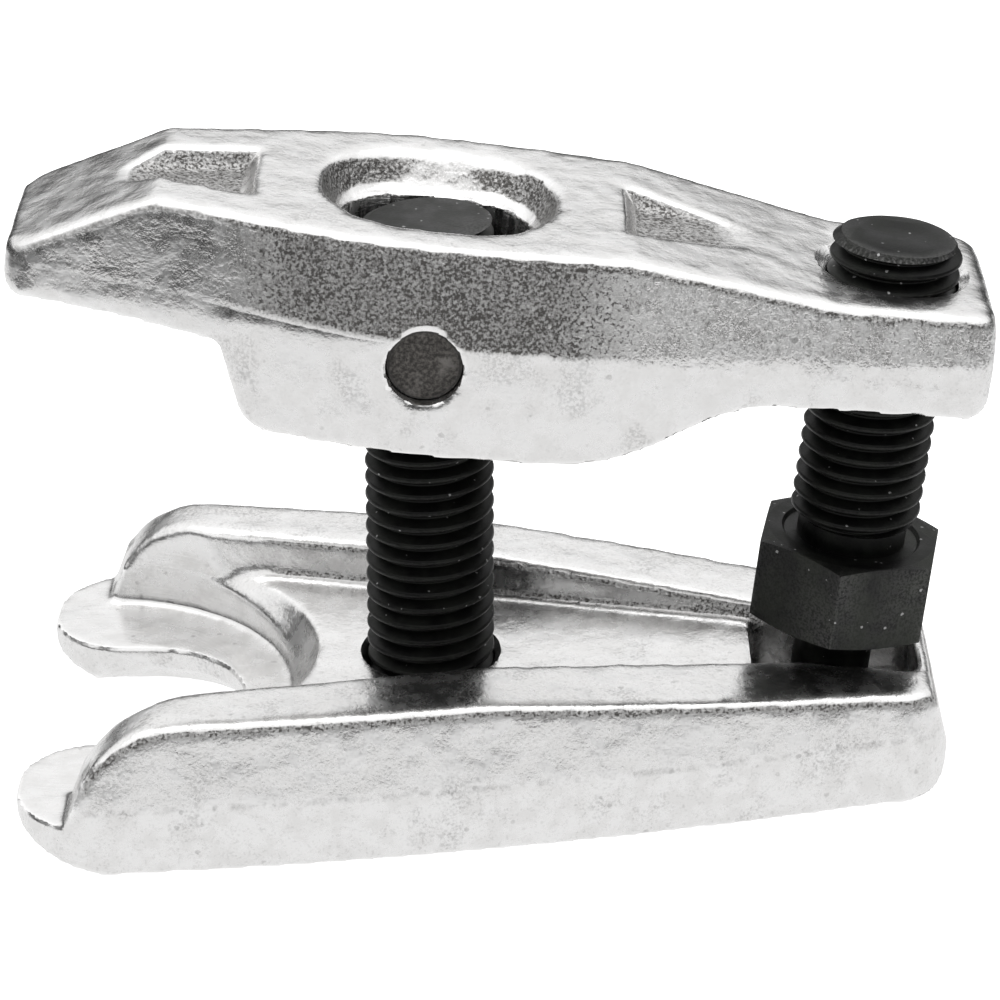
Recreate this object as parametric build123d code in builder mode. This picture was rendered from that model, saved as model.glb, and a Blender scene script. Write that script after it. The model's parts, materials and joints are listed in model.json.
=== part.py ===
from build123d import *
from math import cos, radians, sin, tan
import os

# Ball joint separator. A forged fork goes round the ball joint's stem and a forged lever presses on the
# stem's end. The lever rocks on a pin in the end of an eye bolt that is screwed into the fork, and the
# pressure screw in the lever's rear end pushes down on the fork.
# X runs along the tool with the jaws at -X, Z is up and Y = 0 is the plane of symmetry. The pieces are
# drawn from the eye bolt's axis at the fork's flat underside, and at the end they are moved along X to
# put the origin at the middle of the tool's length. Sizes are in millimetres.

# Threads and fits
thread_diameter = 18.0
thread_clearance = 0.05
thread_lead_in = 0.7
pin_diameter = 10.0
pin_end_inset = 0.3
pin_chamfer = 0.4
running_clearance = 0.05
press_clearance = 0.005

# Fork, seen from above
mouth_width = 29.0
mouth_to_bolt = 41.3
tine_reach = 15.1
tine_round = 10.8
tine_shoulder_run = 9.9
fork_front_half = 38.8
fork_middle_half = 32.0
fork_rear_half = 18.2
fork_middle_x = 5.0
fork_rear_length = 73.1
fork_rear_corner = 9.0
fork_draft_inset = 2.0

# Fork, seen from the side
fork_height = 21.5
fork_rear_height = 16.0
wall_slope_start = 8.0
parting_height = 10.0
lower_draft_inset = 0.5
tine_height = 7.5
tine_tip_underside = 4.4
tine_underside_run = 12.4
tine_round_reach = 0.8
tine_round_share = 0.6
wall_front_lean = 2.2
wall_front_rise = 5.8
wall_front_round = 13.0
rear_heel_round = 4.6
rear_lean = 2.8

# Fork seat, web, channel and pocket
seat_radius = 29.2
seat_ahead_of_mouth = 7.4
bowl_step = 3.6
bowl_side_radius = 22.0
bowl_undercut = 0.5
web_height = 15.0
channel_half_at_bolt = 18.4
channel_narrowing = 0.2
channel_draft = 0.6
pocket_front = 45.5
pocket_half = 8.0
pocket_floor = 6.75
pocket_length = 22.8
pocket_corner = 1.5
mouth_bevel_height = 4.6
mouth_bevel_width = 5.0

# Eye bolt
eye_bolt_foot = 1.0
pivot_height = 68.5
eye_above_pin = 12.9
eye_chamfer = 0.8

# Lever. Its sizes are in its own frame: from the pin, along and square to its flat top.
lever_tilt = 6.2
lever_top = 16.3
lever_nose = 57.0
lever_nose_half = 14.6
lever_hub_half = 22.8
lever_rear_half = 17.0
lever_rear_length = 75.9
lever_end_corner = 4.0
lever_draft_inset = 2.7
lever_end_draft = 0.8
nose_draft_share = 0.6
waist_ahead_of_hub = 10.0
waist_share = 0.25
hub_shoulder = 11.0
hub_shoulder_inset = 0.4
rear_waist_share = 0.35
outer_end_splay = 0.02
rear_end_taper = 0.05
crease_height = 3.3
crease_slope = 1.9
nose_tip_top = 6.6
nose_ramp_length = 19.5
nose_underside = -1.3
nose_tip_underside = 0.6
nose_chin_run = 1.2
nose_chin_rise = 2.0
hub_front = 25.5
hub_underside = -12.5
hub_corner = 4.0
hub_corner_run = 2.5
hub_front_lean = 1.0
hub_throat = 1.9
hub_rear = 17.5
rear_top = 11.8
rear_top_start = 54.0
rear_ramp_start = 26.0
rear_underside = -2.4
rear_underside_start = 48.0
rear_end_round = 3.0
rear_sweep_sag = 0.6

# Lever slot and recesses
slot_rocking_room = 4.0
slot_side_clearance = 0.8
slot_end_rim = 3.25
slot_side_rim = 5.0
slot_rim_foot_end = 0.5
slot_rim_foot_side = 1.5
slot_rim_flat = 1.0
slot_ledge_depth = 4.8
recess_depth = 2.7
front_recess_start = 24.5
front_recess_length = 20.5
rear_recess_start = 25.0
rear_recess_length = 24.0
recess_half = 9.0
recess_tip_half = 4.0
recess_flank = 1.8

# Pressure screw and thrust ball
screw_offset = 62.4
screw_above_top = 4.6
screw_lead_in = 1.2
hex_across_flats = 24.0
hex_height = 12.5
hex_below_lever = 25.8
hex_turn = 20.4
hex_chamfer_angle = 16.0
hex_face_margin = 0.2
joint_overlap = 1.0
relief_length = 2.6
relief_radius = 7.6
neck_radius = 5.5
neck_chamfer = 0.8
ball_radius = 4.0
ball_seat_gap = 0.3
ball_show = 2.4
ball_clearance = 0.05

# Places worked out from the sizes
mouth_radius = mouth_width / 2
mouth_x = -mouth_to_bolt
tip_x = mouth_x - tine_reach
tine_mid = mouth_radius + tine_round
shoulder_x = tip_x + tine_shoulder_run
rear_straight_half = fork_rear_half - fork_rear_corner
rear_corner_x = fork_rear_length - fork_rear_corner
seat_x = mouth_x - seat_ahead_of_mouth
bowl_radius = seat_radius + bowl_step
pocket_rear = pocket_front + pocket_length
screw_radius = thread_diameter / 2
slot_length = thread_diameter + 2 * slot_rocking_room
slot_width = thread_diameter + 2 * slot_side_clearance
slot_rim_length = slot_length + 2 * slot_end_rim
slot_rim_width = slot_width + 2 * slot_side_rim
pin_radius = pin_diameter / 2
above = 60.0
beside = 60.0
past_tip = 5.0
tip_margin = 1.0
arc_share = 0.3

tilt = radians(lever_tilt)
along = (cos(tilt), 0, -sin(tilt))
upward = (sin(tilt), 0, cos(tilt))
lever_plane = Plane(origin=(0, 0, pivot_height), x_dir=along, z_dir=upward)
lever_side = Plane(origin=(0, 0, pivot_height), x_dir=along, z_dir=(0, -1, 0))
crease_plane = lever_plane.offset(crease_height).rotated((0, -crease_slope, 0))


def fork_outline(plane, inset):
    """Give the fork's plan outline on a plane, without its mouth, moved in for the draft."""
    shoulder = (shoulder_x, fork_front_half - inset)
    middle = (fork_middle_x, fork_middle_half - inset)
    rear = (rear_corner_x, fork_rear_half - inset)
    rear_round = (
        rear_corner_x + (fork_rear_corner - inset) * cos(radians(45)),
        rear_straight_half + (fork_rear_corner - inset) * sin(radians(45)),
    )
    tip = (tip_x + inset, tine_mid)
    tip_round = (
        shoulder_x - (tine_shoulder_run - inset) * tine_round_reach,
        tine_mid + (fork_front_half - tine_mid - inset) * tine_round_share,
    )
    with BuildSketch(plane) as outline:
        with BuildLine():
            Line((tip[0], 0), tip)
            ThreePointArc(tip, tip_round, shoulder)
            ThreePointArc(shoulder, middle, rear)
            ThreePointArc(rear, rear_round, (fork_rear_length - inset, rear_straight_half))
            Line((fork_rear_length - inset, rear_straight_half), (fork_rear_length - inset, 0))
            mirror(about=Plane.XZ)
        make_face()
    return outline.sketch


def channel_outline(plane, inset):
    """Give the space between the fork's walls, from its open front to where it meets the pocket."""
    front_x = tip_x - past_tip
    rear_x = (channel_half_at_bolt - pocket_half) / channel_narrowing
    front_half = channel_half_at_bolt - channel_narrowing * front_x - inset
    with BuildSketch(plane) as outline:
        with BuildLine():
            Polyline(
                (front_x, -front_half),
                (rear_x, -pocket_half + inset),
                (rear_x, pocket_half - inset),
                (front_x, front_half),
                close=True,
            )
        make_face()
    return outline.sketch


def lever_outline(plane, inset):
    """Give the lever's plan outline, moved in for the draft: slim nose, wide hub, narrowing rear."""
    end_inset = lever_end_draft * inset / lever_draft_inset
    nose_x = -lever_nose + end_inset
    nose_half = lever_nose_half - inset * nose_draft_share
    rear_x = lever_rear_length - end_inset
    rear_half = lever_rear_half - inset
    hub_half = lever_hub_half - inset
    waist_half = nose_half + waist_share * (hub_half - nose_half)
    nose_shoulder = (nose_x + lever_end_corner, nose_half)
    rear_shoulder = (rear_x - lever_end_corner, rear_half)
    with BuildSketch(plane) as outline:
        with BuildLine():
            Line((nose_x, 0), (nose_x, nose_half - lever_end_corner))
            ThreePointArc(
                (nose_x, nose_half - lever_end_corner),
                (nose_x + arc_share * lever_end_corner, nose_half - arc_share * lever_end_corner),
                nose_shoulder,
            )
            Spline(
                nose_shoulder,
                (-hub_front - waist_ahead_of_hub, waist_half),
                (-hub_front + hub_shoulder, hub_half - hub_shoulder_inset),
                (hub_rear, hub_half),
                (rear_underside_start, rear_half + rear_waist_share * (hub_half - rear_half)),
                rear_shoulder,
                tangents=[(1, outer_end_splay), (1, -rear_end_taper)],
            )
            ThreePointArc(
                rear_shoulder,
                (rear_x - arc_share * lever_end_corner, rear_half - arc_share * lever_end_corner),
                (rear_x, rear_half - lever_end_corner),
            )
            Line((rear_x, rear_half - lever_end_corner), (rear_x, 0))
            mirror(about=Plane.XZ)
        make_face()
    return outline.sketch


def recess_outline(plane, start, length, direction, inset):
    """Give a tapering recess in the lever's top, from its wide end towards one end of the lever."""
    wide_x = direction * (start + inset)
    tip_end_x = direction * (start + length - inset)
    with BuildSketch(plane) as outline:
        with BuildLine():
            Polyline(
                (wide_x, -recess_half + inset),
                (tip_end_x, -recess_tip_half + inset),
                (tip_end_x, recess_tip_half - inset),
                (wide_x, recess_half - inset),
                close=True,
            )
        make_face()
    return outline.sketch


# Forged fork: two thin tines round the mouth, two side walls, a web and the pocket for the screw's tip.
with BuildPart() as fork_jaw:
    parting = fork_outline(Plane.XY.offset(parting_height), 0)
    loft([parting, fork_outline(Plane.XY.offset(fork_height), fork_draft_inset)], ruled=True)
    loft([fork_outline(Plane.XY, lower_draft_inset), parting], ruled=True)
    # Side profile: thin tines, walls that rise in a round, tops that fall to the rear, rounded heel.
    wall_rise = (seat_x + wall_front_lean, tine_height + wall_front_rise)
    wall_crest = (seat_x + wall_front_lean + wall_front_round, fork_height)
    rear_top_point = (fork_rear_length - rear_lean, fork_rear_height)
    with BuildSketch(Plane.XZ):
        with BuildLine():
            Polyline(
                (seat_x, tine_height),
                (tip_x - tip_margin, tine_height),
                (tip_x - tip_margin, tine_tip_underside),
                (tip_x + tine_underside_run, 0),
                (fork_rear_length - rear_heel_round, 0),
            )
            ThreePointArc(
                (fork_rear_length - rear_heel_round, 0),
                (fork_rear_length - arc_share * rear_heel_round, arc_share * rear_heel_round),
                (fork_rear_length, rear_heel_round),
            )
            Polyline((fork_rear_length, rear_heel_round), rear_top_point, (wall_slope_start, fork_height))
            Line((wall_slope_start, fork_height), wall_crest)
            TangentArc(wall_crest, wall_rise, tangent=(-1, 0))
            Line(wall_rise, (seat_x, tine_height))
        make_face()
    extrude(amount=beside, both=True, mode=Mode.INTERSECT)
    # Channel between the walls, above the web.
    channel_foot = channel_outline(Plane.XY.offset(web_height), channel_draft)
    channel_top = channel_outline(Plane.XY.offset(fork_height), 0)
    loft([channel_foot, channel_top], ruled=True, mode=Mode.SUBTRACT)
    # Slope from the web down to the seat, and the milled seat itself.
    with BuildSketch(Plane.XY.offset(tine_height)):
        with Locations((seat_x, 0)):
            Ellipse(seat_radius - bowl_undercut, bowl_side_radius)
    with BuildSketch(Plane.XY.offset(web_height)):
        with Locations((seat_x, 0)):
            Ellipse(bowl_radius, seat_radius + bowl_undercut)
    loft(mode=Mode.SUBTRACT)
    with BuildSketch(Plane.XY.offset(tine_height)):
        with Locations((seat_x, 0)):
            Circle(seat_radius)
    extrude(amount=above, mode=Mode.SUBTRACT)
    # Mouth, with rounded tine ends.
    with BuildSketch(Plane.XY) as mouth:
        with Locations((mouth_x, 0)):
            Circle(mouth_radius)
        with Locations((mouth_x - tine_reach, 0)):
            Rectangle(2 * tine_reach, mouth_width)
        with Locations((tip_x, 0)):
            Rectangle(2 * tine_round, 2 * tine_mid)
        with Locations((tip_x + tine_round, tine_mid), (tip_x + tine_round, -tine_mid)):
            Circle(tine_round, mode=Mode.SUBTRACT)
    extrude(amount=above, mode=Mode.SUBTRACT)
    # Bevel under the mouth, so that the tines slide in under a rubber boot.
    with BuildSketch(Plane.XY.offset(-mouth_bevel_height)):
        with Locations((mouth_x, 0)):
            Circle(mouth_radius + 2 * mouth_bevel_width)
    with BuildSketch(Plane.XY.offset(mouth_bevel_height)):
        with Locations((mouth_x, 0)):
            Circle(mouth_radius)
    loft(mode=Mode.SUBTRACT)
    # Threaded hole for the eye bolt, with a lead-in.
    with Locations((0, 0, web_height)):
        CounterSinkHole(screw_radius + thread_clearance, screw_radius + thread_lead_in, web_height, 90)
    # Pocket that the pressure screw's tip slides in.
    with BuildSketch(Plane.XY.offset(pocket_floor)):
        with Locations(((pocket_front + pocket_rear) / 2, 0)):
            RectangleRounded(pocket_length, 2 * pocket_half, pocket_corner)
    extrude(amount=above, mode=Mode.SUBTRACT)
fork_jaw.part.label = "fork_jaw"

# Eye bolt: threaded shank with a plain, cross-drilled upper end.
with BuildPart() as eye_bolt:
    with BuildSketch(Plane.XY.offset(eye_bolt_foot)):
        Circle(screw_radius)
    extrude(amount=pivot_height + eye_above_pin - eye_bolt_foot)
    chamfer(eye_bolt.edges().group_by(Axis.Z)[0], screw_lead_in)
    chamfer(eye_bolt.edges().group_by(Axis.Z)[-1], eye_chamfer)
    with BuildSketch(Plane.XZ):
        with Locations((0, pivot_height)):
            Circle(pin_radius + running_clearance)
    extrude(amount=beside, both=True, mode=Mode.SUBTRACT)
eye_bolt.part.label = "eye_bolt"

# Forged lever: pressing nose, deep hub round the eye bolt, rear boss with the pressure screw's thread.
with BuildPart() as lever_arm:
    crease = lever_outline(crease_plane, 0)
    crown = lever_outline(lever_plane.offset(lever_top + joint_overlap), lever_draft_inset)
    loft([crease, crown], ruled=True)
    extrude(crease, amount=-3 * lever_top)
    # Side profile: ramped nose, flat top, deep hub, thin rear.
    rear_sweep_x = (rear_underside_start + hub_rear) / 2
    rear_sweep_z = (rear_underside + hub_underside) / 2 - rear_sweep_sag
    with BuildSketch(lever_side):
        with BuildLine():
            Polyline(
                (-lever_nose + nose_chin_run, nose_tip_underside),
                (-lever_nose, nose_tip_underside + nose_chin_rise),
                (-lever_nose, nose_tip_top),
                (-lever_nose + nose_ramp_length, lever_top),
                (rear_ramp_start, lever_top),
                (rear_top_start, rear_top),
                (lever_rear_length - rear_end_round, rear_top),
            )
            ThreePointArc(
                (lever_rear_length - rear_end_round, rear_top),
                (lever_rear_length - arc_share * rear_end_round, rear_top - arc_share * rear_end_round),
                (lever_rear_length, rear_top - rear_end_round),
            )
            Line(
                (lever_rear_length, rear_top - rear_end_round),
                (lever_rear_length, rear_underside + rear_end_round),
            )
            ThreePointArc(
                (lever_rear_length, rear_underside + rear_end_round),
                (lever_rear_length - arc_share * rear_end_round, rear_underside + arc_share * rear_end_round),
                (lever_rear_length - rear_end_round, rear_underside),
            )
            Line((lever_rear_length - rear_end_round, rear_underside), (rear_underside_start, rear_underside))
            Spline(
                (rear_underside_start, rear_underside),
                (rear_sweep_x, rear_sweep_z),
                (hub_rear, hub_underside),
                tangents=[(-1, 0), (-1, 0)],
            )
            Line((hub_rear, hub_underside), (-hub_front + hub_corner + hub_corner_run, hub_underside))
            ThreePointArc(
                (-hub_front + hub_corner + hub_corner_run, hub_underside),
                (-hub_front + hub_corner_run, hub_underside + arc_share * hub_corner),
                (-hub_front + hub_front_lean, hub_underside + hub_corner),
            )
            Polyline(
                (-hub_front + hub_front_lean, hub_underside + hub_corner),
                (-hub_front - hub_throat, nose_underside),
                (-lever_nose + nose_chin_run, nose_tip_underside),
            )
        make_face()
    extrude(amount=beside, both=True, mode=Mode.INTERSECT)
    # Slot that the eye bolt rocks in, with a wide drafted rim.
    with BuildSketch(lever_plane.offset(lever_top - slot_ledge_depth)):
        RectangleRounded(
            slot_length + 2 * slot_rim_foot_end, slot_width + 2 * slot_rim_foot_side, slot_width / 2
        )
    with BuildSketch(lever_plane.offset(lever_top)):
        RectangleRounded(slot_rim_length, slot_rim_width, slot_rim_width / 2 - slot_rim_flat)
    loft(ruled=True, mode=Mode.SUBTRACT)
    with BuildSketch(lever_plane):
        SlotOverall(slot_length, slot_width)
    extrude(amount=above, both=True, mode=Mode.SUBTRACT)
    # Shallow recesses in the top, one on the nose's ramp and one behind the slot.
    for start, length, direction in (
        (front_recess_start, front_recess_length, -1),
        (rear_recess_start, rear_recess_length, 1),
    ):
        floor_plane = lever_plane.offset(lever_top - recess_depth)
        floor = recess_outline(floor_plane, start, length, direction, recess_flank)
        rim = recess_outline(lever_plane.offset(lever_top), start, length, direction, 0)
        loft([floor, rim], ruled=True, mode=Mode.SUBTRACT)
    # Cross hole for the pin, and the threaded hole for the pressure screw.
    with BuildSketch(lever_side):
        Circle(pin_radius + press_clearance)
    extrude(amount=beside, both=True, mode=Mode.SUBTRACT)
    with Locations(lever_plane.offset(rear_top)):
        with Locations((screw_offset, 0)):
            CounterSinkHole(screw_radius + thread_clearance, screw_radius + thread_lead_in, above, 90)
lever_arm.part.label = "lever_arm"

# Pivot pin: a plain pin, flush with the hub's sides.
with BuildPart() as pivot_pin:
    with BuildSketch(lever_side):
        Circle(pin_radius)
    extrude(amount=lever_hub_half - pin_end_inset, both=True)
    chamfer(pivot_pin.edges().filter_by(GeomType.CIRCLE), pin_chamfer)
pivot_pin.part.label = "pivot_pin"

# Pressure screw: thread, relief, hexagon, slim neck and a cup for the ball.
screw_top = rear_top + screw_above_top
hex_top = rear_underside - hex_below_lever
hex_bottom = hex_top - hex_height
ball_height = pocket_floor + ball_seat_gap + ball_radius
ball_level = (ball_height - pivot_height + screw_offset * sin(tilt)) / cos(tilt)
neck_end = ball_level - ball_radius + ball_show
hex_corner_radius = hex_across_flats / 2 / cos(radians(30))
hex_face_radius = hex_across_flats / 2 - hex_face_margin
hex_chamfer_drop = (hex_corner_radius - hex_face_radius) * tan(radians(hex_chamfer_angle))
screw_point = lever_plane.from_local_coords((screw_offset, 0, 0))
screw_axis_plane = Plane(origin=screw_point, x_dir=along, z_dir=upward)
screw_section = Plane(origin=screw_point, x_dir=along, z_dir=(0, -1, 0))
screw_axis = Axis(screw_point, upward)
with BuildPart() as pressure_screw:
    with BuildSketch(screw_axis_plane.offset(hex_bottom)):
        RegularPolygon(hex_corner_radius, 6, rotation=hex_turn)
    extrude(amount=hex_height)
    with BuildSketch(screw_section):
        with BuildLine():
            Polyline(
                (0, hex_bottom),
                (hex_face_radius, hex_bottom),
                (hex_corner_radius, hex_bottom + hex_chamfer_drop),
                (hex_corner_radius, hex_top - hex_chamfer_drop),
                (hex_face_radius, hex_top),
                (0, hex_top),
                close=True,
            )
        make_face()
    revolve(axis=screw_axis, mode=Mode.INTERSECT)
    with BuildSketch(screw_section):
        with BuildLine():
            Polyline(
                (0, neck_end),
                (neck_radius - neck_chamfer, neck_end),
                (neck_radius, neck_end + neck_chamfer),
                (neck_radius, hex_bottom + joint_overlap),
                (0, hex_bottom + joint_overlap),
                close=True,
            )
        make_face()
        with BuildLine():
            Polyline(
                (0, hex_top - joint_overlap),
                (relief_radius, hex_top - joint_overlap),
                (relief_radius, hex_top + relief_length),
                (screw_radius - screw_lead_in, hex_top + relief_length),
                (screw_radius, hex_top + relief_length + screw_lead_in),
                (screw_radius, screw_top - screw_lead_in),
                (screw_radius - screw_lead_in, screw_top),
                (0, screw_top),
                close=True,
            )
        make_face()
    revolve(axis=screw_axis)
    with Locations(screw_axis_plane.offset(ball_level)):
        Sphere(ball_radius + ball_clearance, mode=Mode.SUBTRACT)
pressure_screw.part.label = "pressure_screw"

# Thrust ball, held in the screw's tip.
with BuildPart() as thrust_ball:
    with Locations(screw_axis_plane.offset(ball_level)):
        Sphere(ball_radius)
thrust_ball.part.label = "thrust_ball"

pieces = (fork_jaw, eye_bolt, lever_arm, pivot_pin, pressure_screw, thrust_ball)
front_end = min(piece.part.bounding_box().min.X for piece in pieces)
rear_end = max(piece.part.bounding_box().max.X for piece in pieces)
to_middle = Location((-(front_end + rear_end) / 2, 0, 0))
print("eye bolt axis at X =", round(to_middle.position.X, 4))

os.makedirs("parts", exist_ok=True)
for piece in pieces:
    export_step(piece.part.moved(to_middle), f"parts/{piece.part.label}.step")
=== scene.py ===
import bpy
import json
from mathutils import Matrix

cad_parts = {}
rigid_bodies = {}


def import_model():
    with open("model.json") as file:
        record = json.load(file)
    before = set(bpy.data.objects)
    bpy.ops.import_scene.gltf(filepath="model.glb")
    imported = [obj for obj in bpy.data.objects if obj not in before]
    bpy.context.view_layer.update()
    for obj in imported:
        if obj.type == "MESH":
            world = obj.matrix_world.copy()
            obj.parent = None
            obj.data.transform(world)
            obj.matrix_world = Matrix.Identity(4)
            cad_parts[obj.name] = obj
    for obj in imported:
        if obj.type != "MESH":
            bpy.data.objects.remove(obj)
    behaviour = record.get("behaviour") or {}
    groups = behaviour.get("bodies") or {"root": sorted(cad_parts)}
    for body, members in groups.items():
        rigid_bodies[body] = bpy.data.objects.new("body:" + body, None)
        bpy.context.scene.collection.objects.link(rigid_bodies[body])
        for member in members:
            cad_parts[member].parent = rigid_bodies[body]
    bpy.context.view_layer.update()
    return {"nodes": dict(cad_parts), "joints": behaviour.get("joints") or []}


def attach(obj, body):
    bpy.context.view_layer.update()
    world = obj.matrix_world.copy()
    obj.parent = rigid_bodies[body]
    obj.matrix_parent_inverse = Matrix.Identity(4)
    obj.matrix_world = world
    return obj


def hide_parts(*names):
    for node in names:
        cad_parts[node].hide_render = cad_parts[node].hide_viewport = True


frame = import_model()

import json
import logging
import math
from contextlib import contextmanager
from dataclasses import dataclass, field
from enum import Enum
from typing import Callable, Iterator, Optional, Sequence, Union

import bpy
from mathutils import Matrix, Vector

logging.basicConfig(level=logging.INFO, format="%(name)s: %(message)s")
log = logging.getLogger("separator")
MM = 0.001
LAID_DOWN = Matrix.Rotation(math.radians(90.0), 4, "X")
FaceTest = Callable[[Vector, Vector], bool]


class Slot(str, Enum):
    """Material slots of the record, by name."""

    ZINC = "zinc_plated_forging"
    BLACK = "black_oxide_steel"
    PIN = "bare_pin_steel"
    BALL = "hardened_ball_steel"


class Body(str, Enum):
    """Rigid bodies that the pieces ride on."""

    FORK = "fork"
    BOLT = "eye_bolt"
    LEVER = "lever"
    SCREW = "screw"


class Cut(str, Enum):
    """What a boolean modifier does with its tool."""

    AWAY = "DIFFERENCE"
    JOIN = "UNION"
    KEEP = "INTERSECT"


def joint(name: str) -> dict:
    """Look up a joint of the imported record.

    Args:
        name: The joint's name.

    Returns:
        The joint as the record states it.
    """
    return next(item for item in frame["joints"] if item["name"] == name)


def placement(origin: Vector, up: Vector) -> Matrix:
    """Give the placement of a frame that leans in the XZ plane.

    Args:
        origin: Where the frame stands.
        up: Its Z direction.

    Returns:
        The frame's 4 by 4 matrix.
    """
    along = Vector((up.z, 0.0, -up.x))
    turn = Matrix((along, up.cross(along), up)).transposed()
    return Matrix.Translation(origin) @ turn.to_4x4()


PIVOT = Vector(joint("lever_tilt")["pos_m"])
LEVER_UP = -Vector(joint("screw_turn")["axis"])
LEVER_ALONG = Vector((LEVER_UP.z, 0.0, -LEVER_UP.x))
LEVER_FRAME = placement(PIVOT, LEVER_UP)
SCREW_FRAME = placement(Vector(joint("screw_turn")["pos_m"]), LEVER_UP)
BOLT_FRAME = Matrix.Translation(Vector((PIVOT.x, 0.0, 0.0)))


# --- Mesh work ---


def pick(obj: bpy.types.Object) -> None:
    """Make one object the only selected and active one."""
    bpy.ops.object.select_all(action="DESELECT")
    obj.select_set(True)
    bpy.context.view_layer.objects.active = obj


@contextmanager
def editing(obj: bpy.types.Object, wanted: Optional[FaceTest] = None) -> Iterator[None]:
    """Hold an object in edit mode with some or all of its faces selected.

    Args:
        obj: The object to edit.
        wanted: A test of a face's centre and normal; all faces are selected if it is None.

    Yields:
        Nothing; edit mode ends with the block.
    """
    pick(obj)
    bpy.ops.object.mode_set(mode="EDIT")
    bpy.ops.mesh.select_mode(type="FACE")
    bpy.ops.mesh.select_all(action="DESELECT" if wanted else "SELECT")
    if wanted:
        bpy.ops.object.mode_set(mode="OBJECT")
        for face in obj.data.polygons:
            face.select = wanted(face.center, face.normal)
        bpy.ops.object.mode_set(mode="EDIT")
    yield
    bpy.ops.object.mode_set(mode="OBJECT")


def settle(obj: bpy.types.Object, matrix: Optional[Matrix] = None) -> bpy.types.Object:
    """Put an object's place, turn and scale into its mesh, after an optional further move.

    Args:
        obj: The object.
        matrix: A move that is made first.

    Returns:
        The same object.
    """
    if matrix is not None:
        obj.matrix_world = matrix @ obj.matrix_world
    bpy.context.view_layer.update()
    pick(obj)
    bpy.ops.object.transform_apply(location=True, rotation=True, scale=True)
    return obj


def cylinder(name: str, radius: float, low: float, high: float, sides: int = 128) -> bpy.types.Object:
    """Add an upright cylinder on the Z axis.

    Args:
        name: The new object's name.
        radius: Its radius, in millimetres as are the heights.
        low: Height of its lower end.
        high: Height of its upper end.
        sides: How many sides it has.

    Returns:
        The cylinder.
    """
    bpy.ops.object.select_all(action="DESELECT")
    bpy.ops.mesh.primitive_cylinder_add(
        vertices=sides,
        radius=radius * MM,
        depth=(high - low) * MM,
        location=(0.0, 0.0, (low + high) / 2 * MM),
    )
    made = bpy.context.active_object
    made.name = name
    return settle(made)


def turned(name: str, steps: Sequence[tuple[float, float]], sides: int = 128) -> bpy.types.Object:
    """Make a turned piece on the Z axis: a disc whose end is extruded and scaled step by step.

    Args:
        name: The new object's name.
        steps: Pairs of height and radius in millimetres, from the bottom up.
        sides: How many sides it has.

    Returns:
        The closed turned piece.
    """
    (foot, radius), (level, _) = steps[0], steps[1]
    made = cylinder(name, radius, foot, level, sides)
    for height, next_radius in steps[1:]:
        with editing(made, lambda centre, normal: abs(centre.z - level * MM) < 1e-7 and normal.z > 0.9):
            if height > level:
                bpy.ops.mesh.extrude_region_move()
                bpy.ops.transform.translate(value=(0.0, 0.0, (height - level) * MM))
            grow = next_radius / radius
            bpy.ops.transform.resize(value=(grow, grow, 1.0), center_override=(0.0, 0.0, height * MM))
        level, radius = height, next_radius
    return made


def slot_block(name: str, length: float, width: float, low: float, high: float) -> bpy.types.Object:
    """Make an upright block with round ends, for cutting a slot along X.

    Args:
        name: The new object's name.
        length: Its length over the round ends, in millimetres as is all else.
        width: Its width.
        low: Height of its lower end.
        high: Height of its upper end.

    Returns:
        The block.
    """
    made = cylinder(name, width / 2, low, high, 96)
    half = (length - width) / 2 * MM
    for vertex in made.data.vertices:
        vertex.co.x += half if vertex.co.x > 0 else -half
    return made


def apply_modifier(obj: bpy.types.Object, kind: str, **settings: object) -> None:
    """Add a modifier, set it and apply it.

    Args:
        obj: The object to change.
        kind: The modifier's type.
        **settings: Its properties.
    """
    pick(obj)
    modifier = obj.modifiers.new(kind.lower(), kind)
    for key, value in settings.items():
        setattr(modifier, key, value)
    bpy.ops.object.modifier_apply(modifier=modifier.name)


def combine(obj: bpy.types.Object, tool: bpy.types.Object, how: Cut, solver: str = "MANIFOLD") -> None:
    """Cut, join or keep with a tool, which is used up; its materials go onto the faces that it makes.

    Args:
        obj: The object to change.
        tool: The tool.
        how: What to do.
        solver: The boolean's solver.
    """
    apply_modifier(obj, "BOOLEAN", object=tool, operation=how.value, solver=solver, material_mode="TRANSFER")
    bpy.data.objects.remove(tool)


def clean(obj: bpy.types.Object) -> None:
    """Merge doubled points, drop slivers and turn all faces outwards."""
    with editing(obj):
        bpy.ops.mesh.remove_doubles(threshold=2e-6)
        bpy.ops.mesh.dissolve_degenerate(threshold=1e-6)
        bpy.ops.mesh.normals_make_consistent(inside=False)


def smooth_shading(obj: bpy.types.Object, angle: float = 30.0) -> None:
    """Shade smooth except over edges sharper than an angle in degrees."""
    pick(obj)
    bpy.ops.object.shade_smooth_by_angle(angle=math.radians(angle))


def forging_copy(node: str, name: str) -> bpy.types.Object:
    """Copy a CAD node's mesh as the start of a forging, with its loose triangles merged.

    Args:
        node: The CAD node.
        name: The new object's name.

    Returns:
        The copy, one closed mesh.
    """
    copy = bpy.data.objects.new(name, frame["nodes"][node].data.copy())
    bpy.context.scene.collection.objects.link(copy)
    copy.data.materials.clear()
    with editing(copy):
        bpy.ops.mesh.remove_doubles(threshold=1e-6)
        bpy.ops.mesh.customdata_custom_splitnormals_clear()
    return copy


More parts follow.
